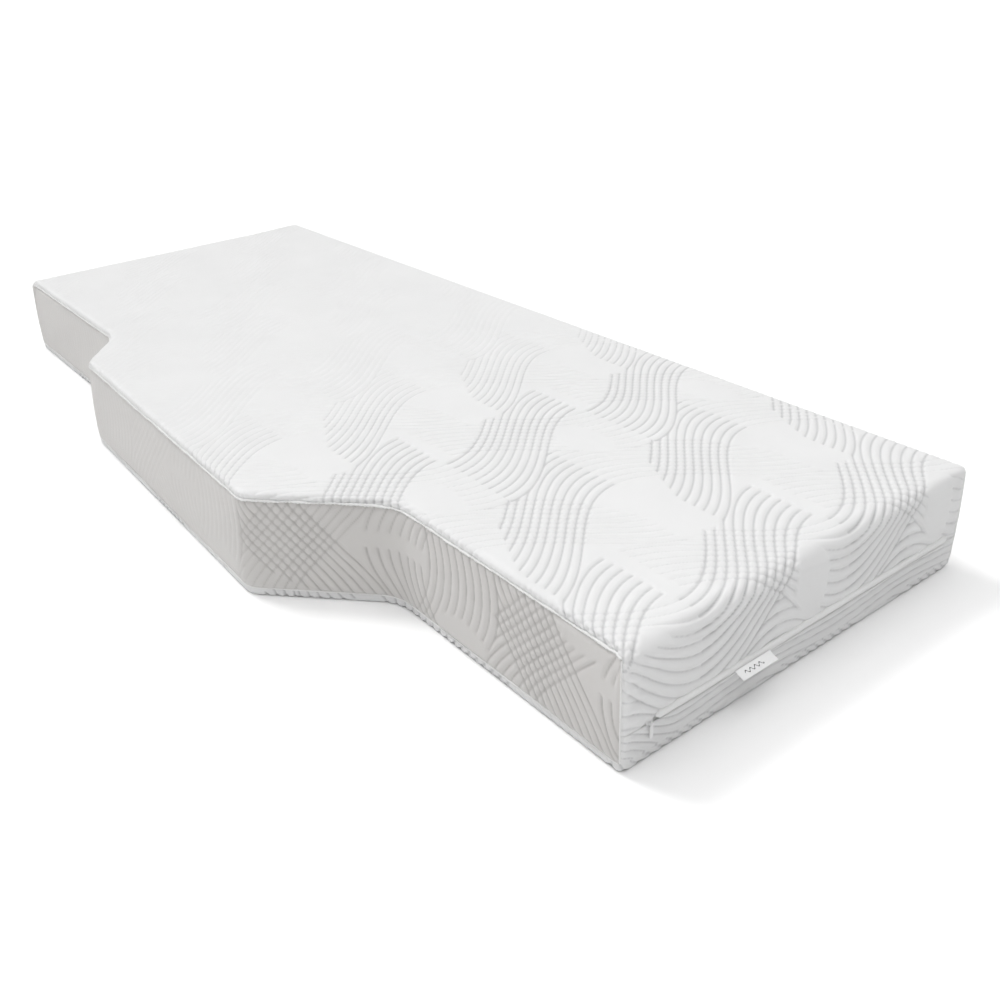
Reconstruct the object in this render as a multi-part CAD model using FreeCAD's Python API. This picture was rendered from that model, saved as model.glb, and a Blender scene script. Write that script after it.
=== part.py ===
import FreeCAD, Part

import math
import os

# A shaped memory foam mattress for a camper or boat bed. Two bonded foam layers sit in a
# stockinette sock, inside a removable quilted cover that closes with a zip at the foot end.
# The right side is straight, and the left side is stepped in at the foot and at the head.
# +Y runs from the foot (zip) end to the head, +X points to the straight side and +Z is up.
# Millimetres. Everything is drawn with the foot-right corner of the bed space at (0, 0)
# and moved at the end, so that the origin is the middle of the footprint, at floor level.

# ---- overall size and outline ----
LENGTH = 2000.0
THICKNESS = 170.0
FOOT_WIDTH = 680.0
WAIST_WIDTH = 838.0
SHOULDER_WIDTH = 818.0
HEAD_WIDTH = 728.0
FOOT_NOTCH_INNER_Y = 468.0
FOOT_NOTCH_OUTER_Y = 640.0
HEAD_NOTCH_OUTER_Y = 1350.0
HEAD_NOTCH_INNER_Y = 1460.0
END_CORNER_R = 24.0
FOOT_NOTCH_INNER_R = 110.0
FOOT_NOTCH_OUTER_R = 70.0
HEAD_NOTCH_OUTER_R = 80.0
HEAD_NOTCH_INNER_R = 110.0
TOP_EDGE_R = 18.0
BOTTOM_EDGE_R = 8.0

# ---- layers ----
COVER_T = 8.0
SOCK_T = 1.0
MEMORY_FOAM_T = 50.0

# ---- cover seams ----
TOP_SEAM_Z = 148.0
BOTTOM_SEAM_Z = 14.0
SIDE_SEAM_PROUD = 3.0
SIDE_SEAM_H = 4.0
LOW_SEAM_PROUD = 2.0
LOW_SEAM_H = 3.0
CORNER_SEAM_PROUD = 2.0
CORNER_SEAM_W = 3.0

# ---- zip at the foot end ----
ZIP_Z = 56.0
SLOT_LEFT = -642.0
SLOT_RIGHT = -28.0
SLOT_HALF_H = 4.5
HEM_T = 4.0             # thickness of the stitched-down panel edges beside the zip
HEM_HALF_H = 18.0
TAPE_T = 0.6
TAPE_W = 16.0
TAPE_GAP = 2.0          # between the two tapes' inner edges
TAPE_END = 6.0          # how far the tapes run past the slot
COIL_T = 1.5
COIL_ROOT = 1.9         # from the zip's centre line
COIL_TIP = 0.6
COIL_GAP_DEPTH = 0.7
COIL_PITCH = 3.0
STOP_L = 1.5
STOP_HALF_H = 2.6
STOP_INSET = 0.5
SLIDER_L = 10.0
SLIDER_HALF_H = 3.9
SLIDER_PLATE_T = 1.1
SLIDER_CLEAR = 0.4
SLIDER_NECK_HALF_H = 0.35
SLIDER_NECK_L = 3.0
SLIDER_FLANGE_T = 0.8
SLIDER_FLANGE_DEPTH = 1.3
SLIDER_PARK_GAP = 1.0   # from the slider to a stop
SLIDER_CORNER_R = 1.5

# ---- puller, hanging from the slider's loop ----
LOOP_Y = -2.6
LOOP_Z = ZIP_Z - 1.0
LOOP_BAR_R = 0.6
LOOP_SPAN = 6.4
LOOP_POST_T = 1.0
LOOP_POST_ROOT = 0.1    # how far the loop's posts run into the slider's plate
PULLER_EYE_R = 0.95
PULLER_RING_R = 1.6
PULLER_RING_W = 3.0
PULLER_TAB_T = 1.0
PULLER_TAB_W = 5.0
PULLER_TAB_R = 2.0      # rounding of the tab's corners
PULLER_NECK_L = 0.5     # between the eye and the tab
PULLER_L = 21.0

# ---- flap over the zip ----
FLAP_LOW_Z = 57.2
FLAP_SEWN_Z = 61.0
FLAP_TOP_Z = 66.0
FLAP_T = 2.4
FLAP_STAND = 2.2        # gap between the flap's lip and the end face
FLAP_FOLD_Y = 1.0       # the flat that stands for the rounded fold along its top
FLAP_FOLD_Z = 1.5
FLAP_LEFT = -627.0

# ---- woven side label ----
LABEL_X = -460.0
LABEL_W = 65.0
LABEL_L = 20.0
LABEL_T = 0.8
LABEL_ROLL_R = 0.6      # the rolled edge that is sewn to the flap
LABEL_ANGLE = 50.0      # degrees out from hanging straight down
LABEL_TOP_Z = 60.0

LEFT_ZONE_X = -640.0    # vertical plane between the left side's wall and the rest
RIGHT_ZONE_X = -40.0
FAR = 400.0             # how far cutting blocks reach past the mattress
CUT_MARGIN = 1.0        # how far a cut runs past the face it opens
SAME_HEIGHT = 0.01      # heights closer than this count as one


def vec(x, y, z=0.0):
    return FreeCAD.Vector(x, y, z)


def box(x0, x1, y0, y1, z0, z1):
    return Part.makeBox(x1 - x0, y1 - y0, z1 - z0, vec(x0, y0, z0))


def edges_along_y(shape):
    along = vec(0, 1)
    return [e for e in shape.Edges if abs(e.tangentAt(0).dot(along)) > math.cos(math.pi / 4)]


def prism(points, z0, z1):
    """A straight block over a closed plan of straight edges."""
    corners = [vec(x, y, z0) for x, y in points]
    wire = Part.makePolygon(corners + corners[:1])
    return Part.Face(wire).extrude(vec(0, 0, z1 - z0))


def outline_corners():
    """The plan's corners, counter-clockwise, each with the radius that rounds it."""
    return [
        (vec(-FOOT_WIDTH, 0), END_CORNER_R),
        (vec(0, 0), END_CORNER_R),
        (vec(0, LENGTH), END_CORNER_R),
        (vec(-HEAD_WIDTH, LENGTH), END_CORNER_R),
        (vec(-HEAD_WIDTH, HEAD_NOTCH_INNER_Y), HEAD_NOTCH_INNER_R),
        (vec(-SHOULDER_WIDTH, HEAD_NOTCH_OUTER_Y), HEAD_NOTCH_OUTER_R),
        (vec(-WAIST_WIDTH, FOOT_NOTCH_OUTER_Y), FOOT_NOTCH_OUTER_R),
        (vec(-FOOT_WIDTH, FOOT_NOTCH_INNER_Y), FOOT_NOTCH_INNER_R),
    ]


def left_of(direction):
    return vec(-direction.y, direction.x)


def inset_corner(before, corner, after, inset):
    """The corner of the plan once its two straight sides have moved inwards."""
    way_in = (corner - before).normalize()
    way_out = (after - corner).normalize()
    bisector = left_of(way_in) + left_of(way_out)
    return corner + bisector * (inset / bisector.dot(left_of(way_in)))


def outline_wire(inset, z):
    """The plan's rounded outline, moved inwards by inset (outwards if negative)."""
    corners = outline_corners()
    count = len(corners)
    moved = [
        inset_corner(corners[i - 1][0], corners[i][0], corners[(i + 1) % count][0], inset)
        for i in range(count)
    ]
    arcs = []
    for i, (_, plan_r) in enumerate(corners):
        way_in = (moved[i] - moved[i - 1]).normalize()
        way_out = (moved[(i + 1) % count] - moved[i]).normalize()
        turn = way_in.getAngle(way_out)
        side = 1 if left_of(way_in).dot(way_out) > 0 else -1
        radius = plan_r - side * inset
        start = moved[i] - way_in * (radius * math.tan(turn / 2))
        end = moved[i] + way_out * (radius * math.tan(turn / 2))
        centre = start + left_of(way_in) * (side * radius)
        middle = centre + (moved[i] - centre).normalize() * radius
        arcs.append((start, middle, end))
    edges = []
    for i, (start, middle, end) in enumerate(arcs):
        edges.append(Part.Arc(start, middle, end).toShape())
        edges.append(Part.LineSegment(end, arcs[(i + 1) % count][0]).toShape())
    wire = Part.Wire(edges)
    wire.translate(vec(0, 0, z))
    return wire


def outline_block(inset, z0, z1, top_r=0.0, bottom_r=0.0):
    """A block over the whole plan, with its top and bottom edges rounded."""
    block = Part.Face(outline_wire(inset, z0)).extrude(vec(0, 0, z1 - z0))
    for z, radius in ((z1, top_r), (z0, bottom_r)):
        if radius > 0:
            rim = [e for e in block.Edges if all(abs(v.Z - z) < SAME_HEIGHT for v in e.Vertexes)]
            block = block.makeFillet(radius, rim)
    return block


def left_zone(z0, z1, reach=FAR):
    """The stretch of wall that the left side strip covers, mitred at its two corners."""
    foot_x, head_x = -FOOT_WIDTH, -HEAD_WIDTH
    plan = [
        (foot_x - reach, -reach),
        (LEFT_ZONE_X, LEFT_ZONE_X - foot_x),
        (LEFT_ZONE_X, LENGTH - (LEFT_ZONE_X - head_x)),
        (head_x - reach, LENGTH + reach),
    ]
    return prism(plan, z0, z1)


def right_zone(z0, z1, reach=FAR):
    plan = [
        (RIGHT_ZONE_X, -RIGHT_ZONE_X),
        (reach, -reach),
        (reach, LENGTH + reach),
        (RIGHT_ZONE_X, LENGTH + RIGHT_ZONE_X),
    ]
    return prism(plan, z0, z1)


def slab(z0, z1):
    return box(-WAIST_WIDTH - FAR, FAR, -FAR, LENGTH + FAR, z0, z1)


def one_solid(shape):
    shape = shape.removeSplitter()
    if len(shape.Solids) != 1:
        raise ValueError(f"expected one solid and got {len(shape.Solids)}")
    return shape.Solids[0]


# ---- foam and sock ----
def foam_layers():
    inset = COVER_T + SOCK_T
    edge_r = TOP_EDGE_R - inset
    foam = outline_block(inset, inset, THICKNESS - inset, top_r=edge_r)
    joint_z = THICKNESS - inset - MEMORY_FOAM_T
    return {
        "base_foam": one_solid(foam.common(slab(0, joint_z))),
        "memory_foam": one_solid(foam.common(slab(joint_z, THICKNESS))),
    }


def inner_sock():
    inset = COVER_T + SOCK_T
    outside = outline_block(COVER_T, COVER_T, THICKNESS - COVER_T, top_r=TOP_EDGE_R - COVER_T)
    inside = outline_block(inset, inset, THICKNESS - inset, top_r=TOP_EDGE_R - inset)
    return outside.cut(inside)


# ---- quilted cover ----
def cover_shell():
    """The closed quilted cover, with thin stitched edges and a slot for the zip."""
    outside = outline_block(0, 0, THICKNESS, TOP_EDGE_R, BOTTOM_EDGE_R)
    inside = outline_block(COVER_T, COVER_T, THICKNESS - COVER_T, TOP_EDGE_R - COVER_T)
    slot = box(
        SLOT_LEFT, SLOT_RIGHT,
        -CUT_MARGIN, COVER_T + CUT_MARGIN,
        ZIP_Z - SLOT_HALF_H, ZIP_Z + SLOT_HALF_H,
    )
    rebate = box(
        SLOT_LEFT - TAPE_END, SLOT_RIGHT + TAPE_END,
        HEM_T, COVER_T + CUT_MARGIN,
        ZIP_Z - HEM_HALF_H, ZIP_Z + HEM_HALF_H,
    )
    return outside.cut(inside).cut(slot).cut(rebate)


def cover_panels():
    shell = cover_shell()
    sides = {"cover_side_left": left_zone, "cover_side_right": right_zone}
    panels = {
        name: one_solid(shell.common(zone(BOTTOM_SEAM_Z, TOP_SEAM_Z)))
        for name, zone in sides.items()
    }
    lower = slab(-CUT_MARGIN, BOTTOM_SEAM_Z)
    lower = lower.fuse(box(-FOOT_WIDTH - FAR, FAR, -FAR, LENGTH / 2, -CUT_MARGIN, ZIP_Z))
    for zone in sides.values():
        lower = lower.cut(zone(BOTTOM_SEAM_Z, TOP_SEAM_Z))
    panels["cover_bottom_panel"] = one_solid(shell.common(lower))
    upper = shell.cut(lower)
    for zone in sides.values():
        upper = upper.cut(zone(BOTTOM_SEAM_Z, TOP_SEAM_Z))
    panels["cover_top_panel"] = one_solid(upper)
    return panels


def seam_band(proud, z0, z1, zone):
    """A sewn ridge around the outside of the cover, kept only inside one zone."""
    ring = outline_block(-proud, z0, z1).cut(outline_block(0, z0, z1))
    return one_solid(ring.common(zone))


def corner_strip(x, y, way_x, way_y):
    """A narrow upright block on the diagonal through one outer corner of the plan."""
    across = CORNER_SEAM_W / 2 / math.sqrt(2)
    plan = [
        (x - way_x * END_CORNER_R + way_y * across, y - way_y * END_CORNER_R - way_x * across),
        (x + way_x * FAR + way_y * across, y + way_y * FAR - way_x * across),
        (x + way_x * FAR - way_y * across, y + way_y * FAR + way_x * across),
        (x - way_x * END_CORNER_R - way_y * across, y - way_y * END_CORNER_R + way_x * across),
    ]
    low = BOTTOM_SEAM_Z + LOW_SEAM_H
    return prism(plan, low, TOP_SEAM_Z - SIDE_SEAM_H / 2)


def seams():
    top0, top1 = TOP_SEAM_Z - SIDE_SEAM_H / 2, TOP_SEAM_Z + SIDE_SEAM_H / 2
    low0, low1 = BOTTOM_SEAM_Z - LOW_SEAM_H / 2, BOTTOM_SEAM_Z + LOW_SEAM_H / 2
    high, low = (top0, top1), (low0, low1)
    corners = {
        "foot_left": (-FOOT_WIDTH, 0, -1, -1),
        "foot_right": (0, 0, 1, -1),
        "head_left": (-HEAD_WIDTH, LENGTH, -1, 1),
        "head_right": (0, LENGTH, 1, 1),
    }
    made = {
        "seam_top_left": seam_band(SIDE_SEAM_PROUD, *high, left_zone(*high)),
        "seam_top_right": seam_band(SIDE_SEAM_PROUD, *high, right_zone(*high)),
        "seam_bottom_left": seam_band(LOW_SEAM_PROUD, *low, left_zone(*low)),
        "seam_bottom_right": seam_band(LOW_SEAM_PROUD, *low, right_zone(*low)),
        "seam_bottom_head": seam_band(
            LOW_SEAM_PROUD, *low,
            box(-HEAD_WIDTH + END_CORNER_R, -END_CORNER_R, LENGTH / 2, LENGTH + FAR, *low),
        ),
    }
    for name, corner in corners.items():
        strip = corner_strip(*corner)
        z0, z1 = BOTTOM_SEAM_Z + LOW_SEAM_H, top0
        made[f"seam_corner_{name}"] = seam_band(CORNER_SEAM_PROUD, z0, z1, strip)
    return made


# ---- zip ----
def zip_tape(side):
    """One tape, above the centre line when side is 1 and below it when side is -1."""
    z0 = ZIP_Z + side * TAPE_GAP / 2
    z1 = z0 + side * TAPE_W
    return box(
        SLOT_LEFT - TAPE_END, SLOT_RIGHT + TAPE_END,
        HEM_T, HEM_T + TAPE_T,
        min(z0, z1), max(z0, z1),
    )


def zip_coil(side):
    """One row of coil teeth on the outside of its tape, as one toothed strip."""
    start = SLOT_LEFT + STOP_INSET + STOP_L
    end = SLOT_RIGHT - STOP_INSET - STOP_L
    count = int((end - start) // COIL_PITCH)
    first = (start + end - count * COIL_PITCH) / 2
    tip, valley = COIL_TIP, COIL_TIP + COIL_GAP_DEPTH
    profile = [(first, COIL_ROOT), (first, tip)]
    for i in range(count):
        x = first + i * COIL_PITCH
        profile += [(x + COIL_PITCH / 2, tip), (x + COIL_PITCH / 2, valley)]
        profile += [(x + COIL_PITCH, valley)]
        if i < count - 1:
            profile += [(x + COIL_PITCH, tip)]
    profile.append((first + count * COIL_PITCH, COIL_ROOT))
    corners = [vec(x, HEM_T - COIL_T, ZIP_Z + side * z) for x, z in profile]
    wire = Part.makePolygon(corners + corners[:1])
    return Part.Face(wire).extrude(vec(0, COIL_T, 0))


def zip_stop(x):
    return box(x, x + STOP_L, HEM_T - COIL_T, HEM_T, ZIP_Z - STOP_HALF_H, ZIP_Z + STOP_HALF_H)


def slider_park_x():
    """The slider's middle when the zip is closed, against the stop by the left corner."""
    return SLOT_LEFT + STOP_INSET + STOP_L + SLIDER_PARK_GAP + SLIDER_L / 2


def zip_slider():
    """Two plates joined by a neck between the coils, with a loop for the puller."""
    x0 = slider_park_x() - SLIDER_L / 2
    x1 = x0 + SLIDER_L
    outer_y1 = HEM_T - COIL_T - SLIDER_CLEAR
    outer_y0 = outer_y1 - SLIDER_PLATE_T
    inner_y0 = HEM_T + TAPE_T + SLIDER_CLEAR
    z0, z1 = ZIP_Z - SLIDER_HALF_H, ZIP_Z + SLIDER_HALF_H
    body = box(x0, x1, outer_y0, outer_y1, z0, z1)
    body = body.makeFillet(SLIDER_CORNER_R, edges_along_y(body))
    back = box(x0, x1, inner_y0, inner_y0 + SLIDER_PLATE_T, z0, z1)
    back = back.makeFillet(SLIDER_CORNER_R, edges_along_y(back))
    neck = box(
        x0, x0 + SLIDER_NECK_L, outer_y0, inner_y0 + SLIDER_PLATE_T,
        ZIP_Z - SLIDER_NECK_HALF_H, ZIP_Z + SLIDER_NECK_HALF_H,
    )
    pieces = [back, neck]
    flange_y1 = min(outer_y1 + SLIDER_FLANGE_DEPTH, HEM_T - SLIDER_CLEAR)
    for zf in (z0, z1 - SLIDER_FLANGE_T):
        pieces.append(box(
            x0 + SLIDER_CORNER_R, x1 - SLIDER_CORNER_R,
            outer_y0, flange_y1,
            zf, zf + SLIDER_FLANGE_T,
        ))
    middle = slider_park_x()
    for side in (-1, 1):
        post_x = middle + side * (LOOP_SPAN - LOOP_POST_T) / 2 - LOOP_POST_T / 2
        pieces.append(box(
            post_x, post_x + LOOP_POST_T,
            LOOP_Y - LOOP_BAR_R, outer_y0 + LOOP_POST_ROOT,
            LOOP_Z - LOOP_BAR_R, LOOP_Z + LOOP_BAR_R,
        ))
    bar_x0 = middle - LOOP_SPAN / 2 + LOOP_POST_T / 2
    bar = Part.makeCylinder(
        LOOP_BAR_R, LOOP_SPAN - LOOP_POST_T, vec(bar_x0, LOOP_Y, LOOP_Z), vec(1, 0, 0)
    )
    return one_solid(body.fuse(pieces + [bar]))


def zip_puller():
    """A flat pull tab hanging from an eye around the slider's loop."""
    middle = slider_park_x()
    ring_x0 = middle - PULLER_RING_W / 2
    ring = Part.makeCylinder(
        PULLER_RING_R, PULLER_RING_W, vec(ring_x0, LOOP_Y, LOOP_Z), vec(1, 0, 0)
    )
    eye = Part.makeCylinder(
        PULLER_EYE_R, PULLER_RING_W + 2 * CUT_MARGIN,
        vec(ring_x0 - CUT_MARGIN, LOOP_Y, LOOP_Z), vec(1, 0, 0),
    )
    tab_z0 = LOOP_Z - PULLER_L
    tab = box(
        middle - PULLER_TAB_W / 2, middle + PULLER_TAB_W / 2,
        LOOP_Y - PULLER_TAB_T / 2, LOOP_Y + PULLER_TAB_T / 2,
        tab_z0, LOOP_Z - PULLER_RING_R - PULLER_NECK_L,
    )
    tab = tab.makeFillet(PULLER_TAB_R, edges_along_y(tab))
    shank = box(
        ring_x0, ring_x0 + PULLER_RING_W,
        LOOP_Y - PULLER_TAB_T / 2, LOOP_Y + PULLER_TAB_T / 2,
        LOOP_Z - PULLER_L / 2, LOOP_Z,
    )
    return one_solid(ring.fuse([tab, shank]).cut(eye))


def zip_flap():
    """The folded strip sewn above the zip, whose lip hangs over the upper coil."""
    lip_y0 = -FLAP_STAND - FLAP_T
    profile = [
        (0, FLAP_TOP_Z),
        (lip_y0 + FLAP_FOLD_Y, FLAP_TOP_Z),
        (lip_y0, FLAP_TOP_Z - FLAP_FOLD_Z),
        (lip_y0, FLAP_LOW_Z),
        (-FLAP_STAND, FLAP_LOW_Z),
        (-FLAP_STAND, FLAP_SEWN_Z),
        (0, FLAP_SEWN_Z),
    ]
    corners = [vec(FLAP_LEFT, y, z) for y, z in profile]
    wire = Part.makePolygon(corners + corners[:1])
    return Part.Face(wire).extrude(vec(SLOT_RIGHT - FLAP_LEFT, 0, 0))


def side_label():
    """A folded woven ribbon, its rolled edge against the flap, standing out and down."""
    x0 = LABEL_X - LABEL_W / 2
    y = -FLAP_STAND - FLAP_T - LABEL_ROLL_R
    ribbon = box(
        x0, x0 + LABEL_W,
        y - LABEL_T / 2, y + LABEL_T / 2,
        LABEL_TOP_Z - LABEL_L, LABEL_TOP_Z,
    )
    roll = Part.makeCylinder(LABEL_ROLL_R, LABEL_W, vec(x0, y, LABEL_TOP_Z), vec(1, 0, 0))
    label = one_solid(ribbon.fuse(roll))
    label.rotate(vec(x0, y, LABEL_TOP_Z), vec(1, 0, 0), -LABEL_ANGLE)
    return label


def parts():
    made = {"inner_sock": inner_sock()}
    made.update(foam_layers())
    made.update(cover_panels())
    made.update(seams())
    made["zip_tape_upper"] = zip_tape(1)
    made["zip_tape_lower"] = zip_tape(-1)
    made["zip_coil_upper"] = zip_coil(1)
    made["zip_coil_lower"] = zip_coil(-1)
    made["zip_stop_left"] = zip_stop(SLOT_LEFT + STOP_INSET)
    made["zip_stop_right"] = zip_stop(SLOT_RIGHT - STOP_INSET - STOP_L)
    made["zip_slider"] = zip_slider()
    made["zip_puller"] = zip_puller()
    made["zip_flap"] = zip_flap()
    made["side_label"] = side_label()
    return made


def main():
    made = parts()
    whole = Part.makeCompound(list(made.values())).optimalBoundingBox(False, False)
    to_middle = vec(-(whole.XMin + whole.XMax) / 2, -(whole.YMin + whole.YMax) / 2, -whole.ZMin)
    os.makedirs("parts", exist_ok=True)
    for name, shape in made.items():
        shape.translate(to_middle)
        if not shape.isValid():
            raise ValueError(f"{name} isn't a valid solid")
        shape.exportStep(f"parts/{name}.step")
        print(f"{name:26s} {shape.Volume / 1000:12.2f} cm3  solids {len(shape.Solids)}")
    print("moved by", [round(v, 3) for v in to_middle])


main()
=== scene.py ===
import math

import bpy
import numpy as np
from mathutils import Matrix, Vector


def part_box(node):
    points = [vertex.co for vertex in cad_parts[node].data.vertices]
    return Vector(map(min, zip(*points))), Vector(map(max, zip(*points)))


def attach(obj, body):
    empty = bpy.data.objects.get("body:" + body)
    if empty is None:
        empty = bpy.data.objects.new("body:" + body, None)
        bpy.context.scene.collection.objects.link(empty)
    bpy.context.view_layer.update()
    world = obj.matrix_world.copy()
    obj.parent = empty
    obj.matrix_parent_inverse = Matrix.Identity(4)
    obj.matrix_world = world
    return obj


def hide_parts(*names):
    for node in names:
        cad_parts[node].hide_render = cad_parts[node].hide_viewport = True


# A shaped memory foam mattress in a quilted zip-off cover. Plan positions are in metres from
# the foot-right corner: x is 0 along the straight side and negative towards the stepped side,
# y runs from the foot (zip) end to the head, and z is up from the floor.
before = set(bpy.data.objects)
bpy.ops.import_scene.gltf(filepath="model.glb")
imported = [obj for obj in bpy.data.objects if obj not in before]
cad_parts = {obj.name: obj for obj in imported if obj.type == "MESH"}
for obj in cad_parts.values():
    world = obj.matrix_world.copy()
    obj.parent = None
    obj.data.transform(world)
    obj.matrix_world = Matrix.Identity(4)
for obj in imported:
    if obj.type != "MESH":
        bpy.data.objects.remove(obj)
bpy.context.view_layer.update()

top_low, top_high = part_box("cover_top_panel")
ORIGIN = np.array([top_high.x, top_low.y, 0.0])

# ---- plan and profile ----
LENGTH = 2.0
TOP_Z = top_high.z
EDGE = 0.024            # width of the band round the plan that the edges are swept over
OUTLINE = [             # x, y and radius of the stepped side's corners, from foot to head
    (-0.680, 0.0, 0), (-0.680, 0.468, 0.080), (-0.838, 0.640, 0.045),
    (-0.818, 1.350, 0.055), (-0.728, 1.460, 0.090), (-0.728, LENGTH, 0),
]
CRISP, ROUND = 12, 5    # squareness of the corners on the straight side and the stepped side
SIDE_SEAM_Z = 0.1585
FACE_EDGE_Z = 0.140     # where the rounded edge over the foot and head ends
LOW_SEAM_Z = 0.014
SIDE_LEAN = 0.012       # how far the stepped side's wall leans in at the top seam
ZIP_Z = 0.056
HEM_TOP_Z, HEM_LOW_Z = 0.0610, 0.0512
SLOT_LEFT, SLOT_RIGHT = -0.642, -0.028
GRID, CORE_GRID = 0.0025, 0.010     # mesh size of the cover, and of the foams and their sock
GRID_WIDTH = 0.79       # the greatest width between the two rims

# ---- quilting ----
LATTICE = 0.28          # between two crossings across the fabric
ROW = 0.235             # between two rows of crossings along it
WAVE = 0.0875           # half the height of a rib's wave
RIB = 0.017             # from one rib to the next
RIBS = 4.5              # ribs on each side of a wave's middle
CREST_END = {1: 0.136, -1: 0.122}   # how far past its middle a wave runs, by the way it leans
EYE_AT, EYE_SIZE = (0.064, -0.088), (0.034, 0.062)


def ramp(x, a, b):
    """Rises smoothly from 0 at a to 1 at b."""
    t = np.clip((x - a) / (b - a), 0.0, 1.0)
    return t * t * (3 - 2 * t)


def bell(x, width):
    """1 at zero, and next to nothing from two widths away."""
    return np.exp(-(x / width) ** 2)


def noise(x, y, size, seed):
    """Smooth random values from -1 to 1, whose bumps are about size across."""
    cells = 97
    table = np.random.RandomState(seed).uniform(-1, 1, (cells, cells))
    gx, gy = np.asarray(x) / size, np.asarray(y) / size
    ix, iy = np.floor(gx).astype(int), np.floor(gy).astype(int)
    fx, fy = ramp(gx - ix, 0, 1), ramp(gy - iy, 0, 1)
    x0, x1, y0, y1 = ix % cells, (ix + 1) % cells, iy % cells, (iy + 1) % cells
    low = table[x0, y0] * (1 - fx) + table[x1, y0] * fx
    high = table[x0, y1] * (1 - fx) + table[x1, y1] * fx
    return low * (1 - fy) + high * fy


def quilt(u, v, weaker=0.6, crest_gaps=(), eyes_from=-9.0):
    """Relief of the quilting at points of the flat fabric, 0 in a stitched valley and 1 on a puff.

    Waves of nine ribs lean one way and, weaker, the other. In every second row, and in the rows
    of crest_gaps, they stop at their crests, and a smooth eye is left where u is past eyes_from."""
    relief = np.ones_like(u)
    first = int(math.floor((v.min() - 0.2) / ROW))
    last = int(math.ceil((v.max() + 0.2) / ROW))
    for lean, strength in ((1, 1.0), (-1, weaker)):
        free = np.ones_like(u)
        for row in range(last, first - 1, -1):
            across = (u - LATTICE / 2 * (row - 1)) % LATTICE - LATTICE / 2
            along = lean * across
            rise = v - ROW * row
            phi = rise - WAVE * np.sin(math.pi * along / LATTICE)
            t = phi / RIB
            valley = 2 * np.abs(t - np.round(t))
            valley[np.abs(t) > RIBS + 0.5] = 0
            if row % 2 == 0 or row in crest_gaps:
                end = CREST_END[lean]
                shown = 1 - ramp(along, end - 0.004, end + 0.003)
                limit = 0.090 - 0.062 * ramp(along, 0.045, 0.095)
                shown *= 1 - ramp(phi - limit, 0, 0.004)
                if lean < 0:
                    eye = ((across - EYE_AT[0]) / EYE_SIZE[0]) ** 2 + ((rise - EYE_AT[1]) / EYE_SIZE[1]) ** 2
                    no_eye = ramp(-u, -eyes_from, 0.01 - eyes_from)
                    shown *= np.maximum(ramp(eye, 0.75, 1.1), no_eye)
            else:
                start = -0.106 + 0.050 * np.clip(phi / 0.08, 0, 1) ** 1.3
                shown = ramp(along - start, -0.003, 0.004)
            relief *= 1 - free * shown * strength * valley ** 2.4
            free = np.where(np.abs(t) < RIBS, 0.0, free)
    return relief


# ---- meshes ----
class Sheet:
    """Collects the points and faces of one mesh."""

    def __init__(self):
        self.co, self.flat, self.relief, self.quads, self.tris, self.count = [], [], [], [], [], 0

    def add(self, co, flat=None, relief=None):
        """Adds points, with where each lies on the flat cloth and its relief. Returns their numbers."""
        shape = co.shape[:-1]
        n = int(np.prod(shape))
        self.co.append(co.reshape(-1, 3))
        self.flat.append(np.zeros((n, 2)) if flat is None else flat.reshape(-1, 2))
        self.relief.append(np.ones(n) if relief is None else relief.reshape(-1))
        ids = np.arange(self.count, self.count + n).reshape(shape)
        self.count += n
        return ids

    def skin(self, ids, flip=False):
        """Faces over a grid of points, with triangles where two neighbours are one point."""
        a, b, c, d = ids[:-1, :-1], ids[1:, :-1], ids[1:, 1:], ids[:-1, 1:]
        q = np.stack([a, b, c, d], -1).reshape(-1, 4)
        if flip:
            q = q[:, ::-1]
        pinched = q[:, 0] == q[:, 3]
        other = q[:, 0] == q[:, 1]
        self.quads.append(q[~pinched & ~other])
        self.tris.append(q[pinched][:, [0, 1, 2]])
        self.tris.append(q[other][:, [0, 2, 3]])

    def fan(self, ids, flip=False):
        """Closes a loop of points with triangles to its middle."""
        middle = self.add(np.concatenate(self.co)[ids].mean(0)[None])[0]
        nxt = np.roll(ids, -1)
        t = np.stack([ids, nxt, np.full(len(ids), middle)], -1)
        self.tris.append(t[:, ::-1] if flip else t)

    def make(self, name, material):
        """Makes the mesh object, with the points' relief and place on the cloth for its material."""
        mesh = bpy.data.meshes.new(name)
        co = np.concatenate(self.co) + ORIGIN
        quads = np.concatenate(self.quads) if self.quads else np.zeros((0, 4), int)
        tris = np.concatenate(self.tris) if self.tris else np.zeros((0, 3), int)
        loops = np.concatenate([quads.ravel(), tris.ravel()]).astype(np.int32)
        tri_starts = len(quads) * 4 + np.arange(len(tris)) * 3
        starts = np.concatenate([np.arange(len(quads)) * 4, tri_starts])
        mesh.vertices.add(len(co))
        mesh.vertices.foreach_set("co", co.astype(np.float32).ravel())
        mesh.loops.add(len(loops))
        mesh.loops.foreach_set("vertex_index", loops)
        mesh.polygons.add(len(starts))
        mesh.polygons.foreach_set("loop_start", starts.astype(np.int32))
        mesh.update(calc_edges=True)
        mesh.polygons.foreach_set("use_smooth", np.ones(len(starts), bool))
        relief = mesh.attributes.new("relief", "FLOAT", "POINT")
        relief.data.foreach_set("value", np.concatenate(self.relief).astype(np.float32))
        flat = np.concatenate(self.flat)
        flat = np.column_stack([flat, np.zeros(len(flat))]).astype(np.float32)
        cloth = mesh.attributes.new("cloth", "FLOAT_VECTOR", "POINT")
        cloth.data.foreach_set("vector", flat.ravel())
        mesh.validate()
        mesh.materials.append(material)
        piece = bpy.data.objects.new(name, mesh)
        bpy.context.scene.collection.objects.link(piece)
        return piece


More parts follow.
